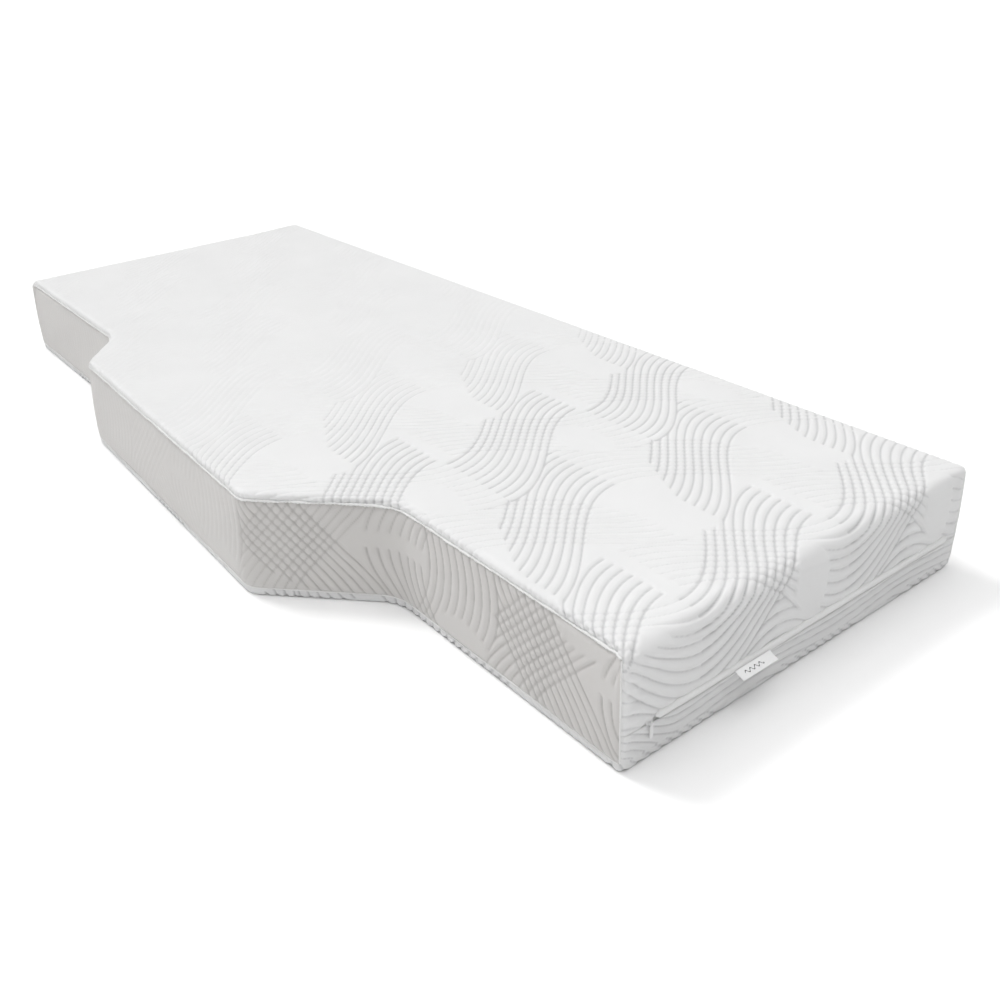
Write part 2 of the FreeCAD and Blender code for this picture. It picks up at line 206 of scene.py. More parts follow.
def left_edge():
    """The stepped side from foot to head: distance along it, points and outward normals."""
    on_straight, on_arc = 400, 200
    pts, nrm = [], []
    corners = [np.array(c[:2]) for c in OUTLINE]
    cursor = corners[0]
    for i in range(1, len(corners) - 1):
        way_in = (corners[i] - corners[i - 1]) / np.linalg.norm(corners[i] - corners[i - 1])
        way_out = (corners[i + 1] - corners[i]) / np.linalg.norm(corners[i + 1] - corners[i])
        turn = math.atan2(way_in[0] * way_out[1] - way_in[1] * way_out[0], way_in @ way_out)
        radius = OUTLINE[i][2]
        start = corners[i] - way_in * radius * math.tan(abs(turn) / 2)
        for s in np.linspace(0, 1, on_straight):
            pts.append(cursor + (start - cursor) * s)
            nrm.append((-way_in[1], way_in[0]))
        left = np.array([-way_in[1], way_in[0]])
        centre = start + left * radius * np.sign(turn)
        for s in np.linspace(0, 1, on_arc)[1:]:
            a = turn * s
            n = np.array([left[0] * math.cos(a) - left[1] * math.sin(a),
                          left[0] * math.sin(a) + left[1] * math.cos(a)])
            pts.append(centre - n * radius * np.sign(turn))
            nrm.append(n)
        cursor = pts[-1]
    for s in np.linspace(0, 1, on_straight)[1:]:
        pts.append(cursor + (corners[-1] - cursor) * s)
        nrm.append((-1.0, 0.0))
    pts, nrm = np.array(pts), np.array(nrm)
    run = np.concatenate([[0], np.cumsum(np.linalg.norm(np.diff(pts, axis=0), axis=1))])
    return run, pts, nrm


class Plan:
    """A grid over the plan, and the columns that leave its rim all round, anticlockwise.

    Each column has its point of the rim, its outward normal, how much it belongs to a side wall
    and to a crisp edge, how far it reaches at a corner, and its distance along the wall."""

    def __init__(self, step):
        run, pts, nrm = left_edge()
        at = np.linspace(EDGE, run[-1] - EDGE, int((run[-1] - 2 * EDGE) / step) + 1)
        edge = np.stack([np.interp(at, run, pts[:, k]) for k in (0, 1)], -1)
        n = np.stack([np.interp(at, run, nrm[:, k]) for k in (0, 1)], -1)
        n /= np.linalg.norm(n, axis=1)[:, None]
        rim = edge - n * EDGE
        ny, nx = len(at), int(GRID_WIDTH / step) + 1
        across = np.linspace(0, 1, nx)[None]
        self.x = rim[:, :1] * (1 - across) - EDGE * across
        self.y = np.repeat(rim[:, 1:], nx, 1)
        ids = np.arange(ny * nx).reshape(ny, nx)
        turns = max(3, int(EDGE * math.pi / 2 / step))
        quarter = EDGE * math.pi / 2
        columns = []

        def straight(which, normals, side, crisp, runs):
            for k, i in enumerate(which):
                columns.append((i, normals[k], side, crisp[k], 1.0, runs[k]))

        def corner(i, start_deg, sides, crisp, squareness, run0, way):
            for k in range(1, turns):
                f = k / turns
                a = math.radians(start_deg + 90 * f)
                c, s = abs(math.cos(math.pi / 2 * f)), abs(math.sin(math.pi / 2 * f))
                reach = (c ** squareness + s ** squareness) ** (-1 / squareness)
                side = sides[0] + (sides[1] - sides[0]) * f
                run_at = run0 + way * EDGE * math.pi / 2 * f
                columns.append((i, (math.cos(a), math.sin(a)), side, crisp, reach, run_at))

        foot_x, head_x = self.x[0], self.x[-1, ::-1]
        straight(ids[0], [(0, -1)] * nx, 0.0, ramp(foot_x, -0.16, -0.01), foot_x)
        corner(ids[0, -1], -90, (0, 1), 1, CRISP, EDGE - quarter, 1)
        straight(ids[:, -1], [(1, 0)] * ny, 1.0, np.ones(ny), self.y[:, -1])
        corner(ids[-1, -1], 0, (1, 0), 1, CRISP, self.y[-1, -1], 1)
        straight(ids[-1, ::-1], [(0, 1)] * nx, 0.0, ramp(head_x, -0.16, -0.01), head_x)
        corner(ids[-1, 0], 90, (0, 1), 0, ROUND, at[-1] + quarter, -1)
        straight(ids[::-1, 0], n[::-1], 1.0, np.zeros(ny), at[::-1])
        corner(ids[0, 0], 180, (1, 0), 0, ROUND, EDGE, -1)

        rim_ids, normal, side, crisp, reach, run_at = (np.array(k) for k in zip(*columns))
        self.rim, self.normal, self.reach, self.run = rim_ids, normal, reach, run_at
        self.base = np.column_stack([self.x.flat[rim_ids], self.y.flat[rim_ids]])
        self.side, self.crisp = ramp(side, 0, 1), crisp
        self.lean = self.side * (1 - self.crisp)
        self.total = len(columns)

        # the column on each corner's seam, and the columns of each face between them
        foot_right = nx + turns // 2 - 1
        head_right = foot_right + ny + turns - 1
        head_left = head_right + nx + turns - 1
        foot_left = head_left + ny + turns - 1
        self.side_right = np.arange(foot_right, head_right + 1)
        self.head = np.arange(head_right, head_left + 1)
        self.side_left = np.arange(head_left, foot_left + 1)
        self.face_foot = np.concatenate([np.arange(foot_left, self.total), np.arange(foot_right + 1)])
        self.ring = np.concatenate([np.arange(self.total), [0]])


def wall_inset(z, lean):
    """How far the outside lies inside the plan's outline at a height on the walls."""
    f = np.clip((z - LOW_SEAM_Z) / (SIDE_SEAM_Z - LOW_SEAM_Z), 0, 1)
    return lean * SIDE_LEAN * f ** 1.5 - 0.0012 * np.sin(math.pi * f)



def edge_shape(plan, cols):
    """Where the rounded top edge ends, its inset there, and how square its section is."""
    end = FACE_EDGE_Z + (SIDE_SEAM_Z - FACE_EDGE_Z) * np.maximum(plan.side[cols], plan.crisp[cols])
    return end, wall_inset(end, plan.lean[cols]), 2.0 + 1.2 * plan.crisp[cols]


def inset_at(z, plan, cols):
    """Inset at a height, with the rounded top edge included."""
    end, low, power = edge_shape(plan, cols)
    c = np.clip((z - end) / (TOP_Z - end), 0, 1)
    edge = low + (EDGE - low) * (1 - (1 - c ** power) ** (1 / power))
    return np.where(z > end, edge, wall_inset(z, plan.lean[cols]))


def column_points(plan, cols, inset, z, out, up, push):
    """Points on the given columns, moved by push along the surface's normal."""
    base, n = plan.base[cols][None], plan.normal[cols][None]
    reach = ((EDGE - inset) * plan.reach[cols][None] + out * push)[..., None]
    return np.concatenate([base + n * reach, (z + up * push)[..., None]], -1)


def top_edge_rows(plan, count):
    """Rows from the rim over the rounded edge down to the side seams' height, on every column."""
    end, low, power = (k[None] for k in edge_shape(plan, np.arange(plan.total)))
    last = np.arccos(np.clip((SIDE_SEAM_Z - end) / (TOP_Z - end), 0, 1) ** (power / 2))
    theta = last * np.linspace(0, 1, count + 1)[:, None]
    across, down = np.sin(theta) ** (2 / power), np.cos(theta) ** (2 / power)
    inset, z = low + (EDGE - low) * (1 - across), end + (TOP_Z - end) * down
    out = across ** (power - 1) * (TOP_Z - end)
    up = down ** (power - 1) * (EDGE - low)
    size = np.hypot(out, up)
    return inset, z, out / size, up / size


def wall_rows(plan, cols, z):
    """Inset of points on a wall at their heights, and the surface's normal there, out and up."""
    inset = inset_at(z, plan, cols)
    e = 0.0004
    slope = (inset_at(z + e, plan, cols) - inset_at(z - e, plan, cols)) / (2 * e)
    slope = np.clip(slope, -1.5, 1.5)
    size = np.hypot(1, slope)
    return inset, 1 / size, slope / size


def arc_length(inset, z):
    """Distance along each column from its first row."""
    d = np.hypot(np.diff(inset, axis=0), np.diff(z, axis=0))
    return np.concatenate([np.zeros((1, d.shape[1])), np.cumsum(d, 0)])


plan = Plan(GRID)
core = Plan(CORE_GRID)


# ---- materials ----
class Shader:
    """One material: its surface shader, and the textures that feed it."""

    def __init__(self, name):
        self.material = bpy.data.materials.new(name)
        self.material.use_nodes = True
        self.nodes, self.links = self.material.node_tree.nodes, self.material.node_tree.links
        self.nodes.clear()
        out = self.nodes.new("ShaderNodeOutputMaterial")
        self.surface = self.nodes.new("ShaderNodeBsdfPrincipled")
        self.links.new(self.surface.outputs[0], out.inputs[0])

    def feed(self, node, inputs):
        """Sets each input to a value, or joins it to another node's output."""
        for key, value in inputs.items():
            if isinstance(value, bpy.types.NodeSocket):
                self.links.new(value, node.inputs[key])
            else:
                node.inputs[key].default_value = value

    def add(self, kind, output, inputs, **settings):
        """Adds a node and returns the named output."""
        node = self.nodes.new("ShaderNode" + kind)
        for key, value in settings.items():
            setattr(node, key, value)
        self.feed(node, inputs)
        return node.outputs[output]

    def attribute(self, name, output):
        return self.add("Attribute", output, {}, attribute_name=name)

    def place(self):
        return self.add("TexCoord", "Object", {})

    def between(self, low, high, value):
        """A number from low to high, by a texture's value."""
        return self.add("MapRange", "Result", {"To Min": low, "To Max": high, "Value": value})

    def mix(self, dark, light, factor):
        inputs = {"A": (*dark, 1), "B": (*light, 1), "Factor": factor}
        return self.add("Mix", "Result", inputs, data_type="RGBA")

    def bump(self, strength, distance, height):
        inputs = {"Strength": strength, "Distance": distance, "Height": height}
        return self.add("Bump", "Normal", inputs)


def fabric(name, colour, valley, loop=0.0018, bump=0.5, roughness=0.85, sheen=0.25):
    """Knitted or woven cloth: fine loops, faint mottling, and painted shade that darkens the stitched
    valleys by their relief; on the label's ribbon the same dark colour is its printed mark.
    """
    wave_scale = 0.314      # scale of a wave texture whose period is one metre
    s = Shader(name)
    cloth = s.attribute("cloth", "Vector")
    relief = s.attribute("relief", "Fac")
    place = s.place()

    cloud = s.add("TexNoise", "Fac", {"Scale": 9.0, "Detail": 4.0, "Vector": place})
    tone = s.add("MapRange", "Result", {"From Min": 0.3, "From Max": 0.7, "To Min": 0.98,
                                        "To Max": 1.01, "Value": cloud})
    # painted shade: the valley colour is mixed in where the relief is low, as the shade in the stitched
    # creases (on the ribbon it is mixed in where the print is)
    depth = s.add("MapRange", "Result", {"From Max": 0.75, "Value": relief},
                  interpolation_type="SMOOTHSTEP")
    shade = s.mix(valley, colour, depth)
    toned = s.add("VectorMath", "Vector", {0: shade, "Scale": tone}, operation="SCALE")

    wales = s.add("TexWave", "Fac", {"Scale": wave_scale / loop, "Distortion": 1.5, "Detail": 1.0,
                                     "Detail Scale": 2.0, "Vector": cloth}, bands_direction="X")
    courses = s.add("TexWave", "Fac", {"Scale": wave_scale / (loop * 0.78), "Distortion": 2.0,
                                       "Detail": 1.0, "Vector": cloth}, bands_direction="Y")
    loops = s.add("Math", "Value", {0: wales, 1: courses}, operation="MULTIPLY")
    fuzz = s.add("TexNoise", "Fac", {"Scale": 420.0, "Detail": 3.0, "Vector": place})
    height = s.add("Math", "Value", {0: fuzz, 1: 0.6, 2: loops}, operation="MULTIPLY_ADD")

    s.feed(s.surface, {
        "Base Color": toned,
        "Normal": s.bump(bump, 0.0006, height),
        "Roughness": s.between(roughness - 0.06, min(1.0, roughness + 0.06), fuzz),
        "Sheen Weight": sheen,
        "Sheen Roughness": 0.5,
        "Specular IOR Level": 0.25,
    })
    return s.material


def foam_material(name, colour, pores):
    """Open-celled foam: fine pits under a faintly uneven tone."""
    s = Shader(name)
    place = s.place()
    cells = s.add("TexVoronoi", "Distance", {"Scale": pores, "Vector": place})
    cloud = s.add("TexNoise", "Fac", {"Scale": 14.0, "Vector": place})
    s.feed(s.surface, {
        "Base Color": s.mix([c * 0.93 for c in colour], colour, cloud),
        "Normal": s.bump(0.5, 0.0008, cells),
        "Roughness": s.between(0.85, 0.98, cloud),
    })
    return s.material


def zip_material(name, colour, roughness, grain):
    """Painted metal or nylon, with uneven gloss and fine scratches."""
    s = Shader(name)
    wear = s.add("TexNoise", "Fac", {"Scale": grain, "Detail": 5.0, "Vector": s.place()})
    s.feed(s.surface, {
        "Base Color": s.mix([c * 0.9 for c in colour], colour, wear),
        "Roughness": s.between(roughness - 0.08, roughness + 0.08, wear),
        "Normal": s.bump(0.15, 0.0002, wear),
    })
    return s.material


def floor_material():
    s = Shader("studio_floor")
    s.feed(s.surface, {"Base Color": (0.92, 0.92, 0.92, 1), "Roughness": 0.95, "Specular IOR Level": 0.1})
    return s.material


# painted shade: each fabric's second colour darkens its stitched valleys; for the label's ribbon it is the
# colour of the print
COVER = fabric("quilted_jersey", (0.735, 0.735, 0.735), (0.52, 0.52, 0.525))
# painted shade: the side walls' fabric is coloured darker than the top's fabric, standing in for the shade
# that falls on the walls
SHADED_BORDER = fabric("quilted_border_jersey_shaded", (0.600, 0.586, 0.572), (0.44, 0.428, 0.416))
SEAM = fabric("folded_seam_tape", (0.79, 0.79, 0.785), (0.68, 0.68, 0.68), loop=0.0012)
TAPE = fabric("woven_zip_tape", (0.80, 0.80, 0.79), (0.55, 0.55, 0.55), loop=0.0008,
              roughness=0.7, sheen=0.1)
RIBBON = fabric("label_ribbon_satin", (0.93, 0.93, 0.93), (0.05, 0.05, 0.055), loop=0.0006,
                bump=0.3, roughness=0.45, sheen=0.1)
SOCK = fabric("sock_knit_cotton", (0.82, 0.82, 0.82), (0.7, 0.7, 0.7), loop=0.0014, bump=0.4)
BASE_FOAM = foam_material("base_foam_cells", (0.78, 0.78, 0.74), 700.0)
MEMORY_FOAM = foam_material("memory_foam_cells", (0.80, 0.76, 0.62), 1100.0)
PAINTED = zip_material("white_painted_zinc", (0.80, 0.80, 0.80), 0.38, 300.0)
NYLON = zip_material("white_nylon", (0.78, 0.78, 0.77), 0.45, 900.0)


# ---- quilted cover ----
TOP_DEPTH, FACE_DEPTH, SIDE_DEPTH = 0.0030, 0.0042, 0.0028      # of the quilting, by panel
LEVEL = 0.72            # the relief that lies on a panel's plain surface
FLOOR_GAP = 0.0002      # between the underside and the floor
HEM_GAP = 0.0003        # from the zip's line to each hem, beyond the slot
HEM = ((0.0010, 0.0008), (0.0024, 0.0011), (0.0040, 0.0006),    # back into the slot, and towards
       (0.0052, -0.0010), (0.0056, -0.0060))                    # the zip's line
ALL = np.arange(plan.total)                                     # every column round the plan


def finish_piece(piece, body, slot, *nodes):
    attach(piece, body)
    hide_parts(*nodes)
    return piece


def top_quilt(u, v, **kind):
    return quilt(u + 0.41, v - 0.05, **kind)


def under_quilt(u, v):
    return quilt(u + 0.30, v - 0.02)


def to_head(y):
    """Grows from 0 to 1 towards the head, where the photograph hardly shows the quilting."""
    return ramp(y, 0.50, 1.15)


def depth_at(flat):
    """The top's fabric is drawn flatter towards the head, and along the straight side's edge."""
    near_edge = ramp(flat[..., 0], -0.040, -0.012)
    return TOP_DEPTH * (1 - 0.74 * to_head(flat[..., 1])) * (1 - 0.65 * near_edge)


def shown_relief(relief, away):
    """The relief that the material sees for its painted valley shade, fainter where the fabric is drawn
    flat.
    """
    return 1 - (1 - relief) * (1 - 0.72 * away)


def face_x(cols):
    """Where columns of an end face stand across the mattress."""
    return plan.base[cols][:, 0] + plan.normal[cols][:, 0] * EDGE


def fabric_x(cols):
    """Where columns of an end face lie on the flat fabric, measured round the corners."""
    nx = plan.normal[cols][:, 0]
    return plan.base[cols][:, 0] + np.sign(nx) * EDGE * np.abs(np.arcsin(np.clip(nx, -1, 1)))


def slot_share(cols):
    """1 where the zip parts the foot face, and 0 beyond its slot."""
    x = face_x(cols)
    past_left = ramp(x, SLOT_LEFT - 0.010, SLOT_LEFT + 0.004)
    return past_left * (1 - ramp(x, SLOT_RIGHT - 0.004, SLOT_RIGHT + 0.010))


def corner_puckers(cols, z, reach):
    """Sideways folds that the corner seams draw in the fabric of the end faces."""
    x = face_x(cols)
    from_seam = np.minimum(np.abs(x - x.min()), np.abs(x.max() - x))[None]
    wave = np.sin(2 * math.pi * z / 0.0148 + 1.2 * noise(x[None] + 0 * z, z, 0.05, 11) + 0.7)
    return from_seam, wave * np.exp(-from_seam / reach)


def carry_on(start, cols, inset, z, out, up, push, blend):
    """Points of a wall that starts on the given points and takes up its own push over blend."""
    stood = np.linalg.norm(start[:, :2] - plan.base[cols], axis=1) - (EDGE - inset[0]) * plan.reach[cols]
    join = ramp(np.abs(z - z[0:1]), 0, blend)
    co = column_points(plan, cols, inset, z, out, up, push * join + stood[None] * (1 - join))
    co[0] = start
    return co


def hem_rows(row, cols, way):
    """Rows that turn a panel's edge in at the zip: way is 1 if the zip is above, and -1 if below."""
    rows = []
    for back, rise in HEM:
        turned = row.copy()
        turned[:, :2] -= plan.normal[cols] * back
        turned[:, 2] += way * rise * np.where(slot_share(cols) > 0.5, 1, 0.15)
        rows.append(turned)
    return np.array(rows)


def add_wall(sheet, first_ids, co, flat, relief, hem=None, flip=False):
    """Adds a wall below or above the row that it starts on, and its hem."""
    co, flat, relief = co[1:], flat[1:], relief[1:]
    if hem is not None:
        co = np.concatenate([co, hem])
        flat = np.concatenate([flat, np.repeat(flat[-1:], len(hem), 0)])
        relief = np.concatenate([relief, np.ones(hem.shape[:2])])
    ids = sheet.add(co, flat, relief)
    sheet.skin(np.concatenate([first_ids[None], ids]), flip=flip)


def top_cap(sheet):
    """The top itself, slightly crowned. Returns its point numbers and the crown's height."""
    x, y = plan.x, plan.y
    flat = np.stack([x, y], -1)
    relief = top_quilt(x, y)
    to_edge = np.minimum.reduce([y, LENGTH - y, -x, x - x[:, :1] + EDGE]) - EDGE
    crown = 0.0020 * ramp(to_edge, -0.01, 0.20) + 0.0010 * noise(x, y, 0.16, 3) * ramp(to_edge, 0, 0.05)
    z = TOP_Z + crown + depth_at(flat) * (relief - LEVEL)
    ids = sheet.add(np.stack([x, y, z], -1), flat, shown_relief(relief, to_head(y)))
    sheet.skin(ids.T)
    return ids, crown


def top_edge(sheet, cap, crown):
    """The rounded edge all round, stitched, tucked and puckered along the side seams.

    Returns the numbers, points, distances from the rim and places on the cloth of its last row."""
    inset, z, out, up = top_edge_rows(plan, 13)
    arc = arc_length(inset, z)
    flat = plan.base[None] + plan.normal[None] * arc[..., None]
    relief = top_quilt(flat[..., 0], flat[..., 1])
    side = plan.side[None]
    from_seam = arc[-1:] - arc
    along = plan.run[None] + 0 * arc
    stitches = 0.25 + 1.1 * ramp(np.sin(2 * math.pi * along / 0.0100), -0.2, 0.6)
    stitch = bell(from_seam - 0.0062, 0.0014) * stitches
    tuck = 0.0022 * bell(from_seam, 0.0040)
    folds = np.sin(2 * math.pi * along / 0.0105 + 2.8 * noise(along, arc, 0.03, 5))
    pucker = folds * bell(from_seam, 0.011)
    seamed = side * (-tuck - 0.0011 * stitch + 0.0009 * pucker)
    calm = 1 - side * ramp(0.007 - from_seam, 0, 0.007)
    push = depth_at(flat) * (relief - LEVEL) * calm + seamed
    rim_push = (depth_at(plan.base) * (top_quilt(*plan.base.T) - LEVEL))[None]
    past_rim = ramp(arc, 0, 0.003)
    push = push * past_rim + rim_push * (1 - past_rim)
    z = z + crown.flat[plan.rim][None] * (1 - ramp(arc, 0, 0.02))
    co = column_points(plan, ALL, inset, z, out, up, push)
    ids = sheet.add(co[1:], flat[1:], shown_relief(relief, to_head(flat[..., 1]))[1:])
    sheet.skin(np.concatenate([cap.flat[plan.rim][None], ids])[:, plan.ring])
    return ids[-1], co[-1], arc[-1], flat[-1]


def end_wall(edge, cols, low_z, rows, stretch, way, seed):
    """Carries the top panel down an end face, in the direction way along the mattress.

    Returns heights, inset and normal of its points, their places on the cloth, relief and push."""
    arc, flat = edge[2][cols], edge[3][cols]
    z = SIDE_SEAM_Z + (low_z[None] - SIDE_SEAM_Z) * np.linspace(0, 1, rows)[:, None]
    inset, out, up = wall_rows(plan, cols, z)
    down = arc_length(inset, z) / stretch
    blend = ramp(down, 0, 0.03)
    u = flat[:, 0][None] * (1 - blend) + fabric_x(cols)[None] * blend
    edge_v = (EDGE if way < 0 else LENGTH - EDGE) + way * arc.max()
    v = flat[:, 1][None] * (1 - blend) + edge_v * blend + way * down
    relief = top_quilt(u, v, weaker=0.75, eyes_from=-0.16)
    from_seam, wave = corner_puckers(cols, z, 0.022)
    wave = wave * (1 - bell(from_seam, 0.004))
    swell = 0.0008 * noise(u, z, 0.09, seed)
    tuck = 0.0010 * bell(from_seam, 0.0040)
    push = (FACE_DEPTH * (relief - LEVEL) * (1 - bell(from_seam, 0.009)) + 0.0015 * wave
            + swell * ramp(down, 0, 0.02) - tuck * ramp(down, -0.004, 0.01))
    return z, inset, out, up, np.stack([u, v], -1), relief, push


def foot_face(sheet, edge):
    """The top panel's foot face, down to the zip and turned in there."""
    cols = plan.face_foot
    hem_z = ZIP_Z + HEM_GAP + (HEM_TOP_Z - ZIP_Z - HEM_GAP) * slot_share(cols)
    z, inset, out, up, flat, relief, push = end_wall(edge, cols, hem_z, 38, 1.12, -1, 21)
    above = z - hem_z[None]
    push = push * ramp(above, 0.0, 0.010) - 0.0008 * (1 - ramp(above, 0, 0.009))
    co = carry_on(edge[1][cols], cols, inset, z, out, up, push, 0.012)
    add_wall(sheet, edge[0][cols], co, flat, relief, hem_rows(co[-1], cols, -1))


def head_face(sheet, edge):
    """The top panel's head face, down to the low seam."""
    cols = plan.head
    low_z = np.full(len(cols), LOW_SEAM_Z)
    z, inset, out, up, flat, relief, push = end_wall(edge, cols, low_z, 57, 1.05, 1, 22)
    above = z - LOW_SEAM_Z
    push = push * (1 - bell(above, 0.005)) - 0.0014 * bell(above, 0.004)
    co = carry_on(edge[1][cols], cols, inset, z, out, up, push, 0.012)
    add_wall(sheet, edge[0][cols], co, flat, relief)


def top_panel():
    sheet = Sheet()
    edge = top_edge(sheet, *top_cap(sheet))
    foot_face(sheet, edge)
    head_face(sheet, edge)
    piece = sheet.make("quilted_top_panel", COVER)
    finish_piece(piece, "mattress", "cover_quilt", "cover_top_panel")


def side_panel(side, cols, start, seed):
    """A border strip between the side seams, whose pattern starts at its own place."""
    rows = np.linspace(0, 1, 58)[:, None]
    z = SIDE_SEAM_Z + (LOW_SEAM_Z - SIDE_SEAM_Z) * rows + np.zeros((1, len(cols)))
    inset, out, up = wall_rows(plan, cols, z)
    run = plan.run[cols][None] + 0 * z
    relief = quilt(z - start[0], run - start[1], weaker=0.85, crest_gaps=(-1,))
    to_end = np.minimum(run - run.min(), run.max() - run)
    to_top, to_low = SIDE_SEAM_Z - z, z - LOW_SEAM_Z
    folds = np.sin(2 * math.pi * run / 0.0095 + 2.5 * noise(run, z, 0.03, seed))
    pucker = 0.0005 * folds * bell(to_top, 0.010)
    swell = 0.0012 * noise(run, z, 0.11, seed + 1)
    far = ramp(run, 0.62, 0.85)
    depth = SIDE_DEPTH * (1 - 0.7 * far)
    calm = (1 - bell(to_end, 0.007)) * (1 - bell(to_top, 0.004)) * (1 - bell(to_low, 0.004))
    push = ((depth * (relief - LEVEL) + swell + pucker) * calm - 0.0024 * bell(to_top, 0.0045)
            - 0.0014 * bell(to_low, 0.0040) - 0.0010 * bell(to_end, 0.0040))
    co = column_points(plan, cols, inset, z, out, up, push)
    sheet = Sheet()
    sheet.skin(sheet.add(co, np.stack([z, run], -1), shown_relief(relief, far)))
    # the side panels use the border fabric, which is darkened with painted shade
    piece = sheet.make(f"quilted_side_panel_{side}", SHADED_BORDER)
    finish_piece(piece, "mattress", "border_quilt", f"cover_side_{side}")


def under_cap(sheet):
    flat = np.stack([plan.x, plan.y], -1)
    relief = under_quilt(plan.x, plan.y)
    z = TOP_DEPTH * (1 - relief) + FLOOR_GAP
    ids = sheet.add(np.stack([plan.x, plan.y, z], -1), flat, relief)
    sheet.skin(ids.T, flip=True)
    return ids


def under_edge(sheet, cap):
    """The underside's margin and the bottom edge, all round, up to the low seam.

    Returns the numbers, points and places on the cloth of its last row."""
    flat_rows, width, shape = 5, 0.006, 0.65
    turn = np.linspace(math.pi / 2, 0, 9)[:, None] + np.zeros((1, plan.total))
    turn = np.clip(turn, 0, math.pi / 2 - 1e-9)
    low = wall_inset(np.full(plan.total, LOW_SEAM_Z), plan.lean)[None]
    level = np.zeros((flat_rows, plan.total))
    margin = np.linspace(EDGE, low[0] + width, flat_rows + 1)[:-1]
    inset = np.concatenate([margin, low + width * (1 - np.cos(turn) ** shape)])
    z = np.concatenate([level, LOW_SEAM_Z * (1 - np.sin(turn) ** shape)])
    out = np.concatenate([level, np.cos(turn)])
    up = np.concatenate([level - 1, -np.sin(turn)])
    arc = arc_length(inset, z)
    flat = plan.base[None] + plan.normal[None] * arc[..., None]
    relief = under_quilt(flat[..., 0], flat[..., 1])
    from_seam = arc[-1:] - arc
    on_foot = np.zeros((1, plan.total))
    on_foot[0, plan.face_foot] = 1
    calm = 1 - (0.8 + 0.2 * (1 - on_foot)) * bell(from_seam, 0.004 + 0.006 * on_foot)
    tuck = 0.0014 * bell(from_seam, 0.004) * (1 - on_foot)
    push = -TOP_DEPTH * (1 - relief) * calm - FLOOR_GAP - tuck
    rim_push = (-TOP_DEPTH * (1 - under_quilt(*plan.base.T)) - FLOOR_GAP)[None]
    past_rim = ramp(arc, 0, 0.003)
    push = push * past_rim + rim_push * (1 - past_rim)
    co = column_points(plan, ALL, inset, z, out, up, push)
    co[..., 2] = np.maximum(co[..., 2], FLOOR_GAP)
    ids = sheet.add(co[1:], flat[1:], relief[1:])
    sheet.skin(np.concatenate([cap.flat[plan.rim][None], ids])[:, plan.ring], flip=True)
    return ids[-1], co[-1], flat[-1]


def under_strip(sheet, edge):
    """The bottom panel's strip up the foot face to the zip, with ripples along it."""
    cols = plan.face_foot
    start_ids, start, flat = (part[cols] for part in edge)
    hem_z = ZIP_Z - HEM_GAP - (ZIP_Z - HEM_GAP - HEM_LOW_Z) * slot_share(cols)
    z = LOW_SEAM_Z + (hem_z[None] - LOW_SEAM_Z) * np.linspace(0, 1, 17)[:, None]
    inset, out, up = wall_rows(plan, cols, z)
    rise = arc_length(inset, z)
    blend = ramp(rise, 0, 0.02)
    u = flat[:, 0][None] * (1 - blend) + fabric_x(cols)[None] * blend
    v = flat[:, 1][None] * (1 - blend) + flat[:, 1].min() * blend - rise
    line = z + 0.0045 * np.sin(2 * math.pi * (u + 0.05) / 0.31) - 0.045 * ramp(-u, 0.575, 0.70)
    ripple = line / 0.0125
    relief = 1 - 0.9 * (2 * np.abs(ripple - np.round(ripple))) ** 2.4
    from_seam, wave = corner_puckers(cols, z, 0.012)
    off_floor = ramp(z, LOW_SEAM_Z, 0.02)
    depth = TOP_DEPTH * (0.25 + 0.75 * ramp(z, LOW_SEAM_Z, 0.024))
    push = (depth * (relief - 1) + 0.0006 * (wave - 1) * off_floor) * (1 - bell(from_seam, 0.007))
    push -= 0.0010 * bell(from_seam, 0.004) * off_floor
    below = hem_z[None] - z
    push = push * ramp(below, 0, 0.008) - 0.0012 * (1 - ramp(below, 0, 0.008))
    co = carry_on(start, cols, inset, z, out, up, push, 0.006)
    hem = hem_rows(co[-1], cols, 1)
    add_wall(sheet, start_ids, co, np.stack([u, v], -1), relief, hem, flip=True)


def bottom_panel():
    sheet = Sheet()
    under_strip(sheet, under_edge(sheet, under_cap(sheet)))
    piece = sheet.make("quilted_bottom_panel", COVER)
    finish_piece(piece, "mattress", "cover_quilt", "cover_bottom_panel")


top_panel()
side_panel("left", plan.side_left, (0.24, 0.395), 31)
side_panel("right", plan.side_right, (0.06, 0.10), 41)
bottom_panel()


# ---- seams ----
def sweep(name, path, out, up, section, material, swell=0.0, seed=1, taper=0.003, tip=0.25):
    """A strip with a closed section along a path, its section drawn in out and up.

    Its thickness varies by the share swell, and narrows towards tip over taper at its ends."""
    sheet = Sheet()
    run = np.concatenate([[0], np.cumsum(np.linalg.norm(np.diff(path, axis=0), axis=1))])
    a, b = np.array(section).T
    gathers = swell * np.sin(2 * math.pi * run / 0.0062 + 2 * noise(run, run, 0.02, seed))
    size = 1 + gathers + swell * noise(run, run * 0, 0.012, seed + 1)
    size = size * np.clip(np.minimum(run, run[-1] - run) / taper, tip, 1) ** 0.5
    across = a.mean() + (a - a.mean())[None, :, None] * size[:, None, None]
    rise = b.mean() + (b - b.mean())[None, :, None] * size[:, None, None]
    co = path[:, None] + out[:, None] * across + up[:, None] * rise
    girth = np.cumsum(np.hypot(np.diff(a, append=a[0]), np.diff(b, append=b[0])))
    ids = sheet.add(co, np.stack([run[:, None] + 0 * a[None], girth[None] + 0 * run[:, None]], -1))
    sheet.skin(np.concatenate([ids, ids[:, :1]], 1))
    sheet.fan(ids[0])
    sheet.fan(ids[-1], flip=True)
    return sheet.make(name, material)


def oval(a, b):
    turn = np.linspace(0, 2 * math.pi, 12, endpoint=False)
    return [(a * math.cos(k), b * math.sin(k)) for k in turn]


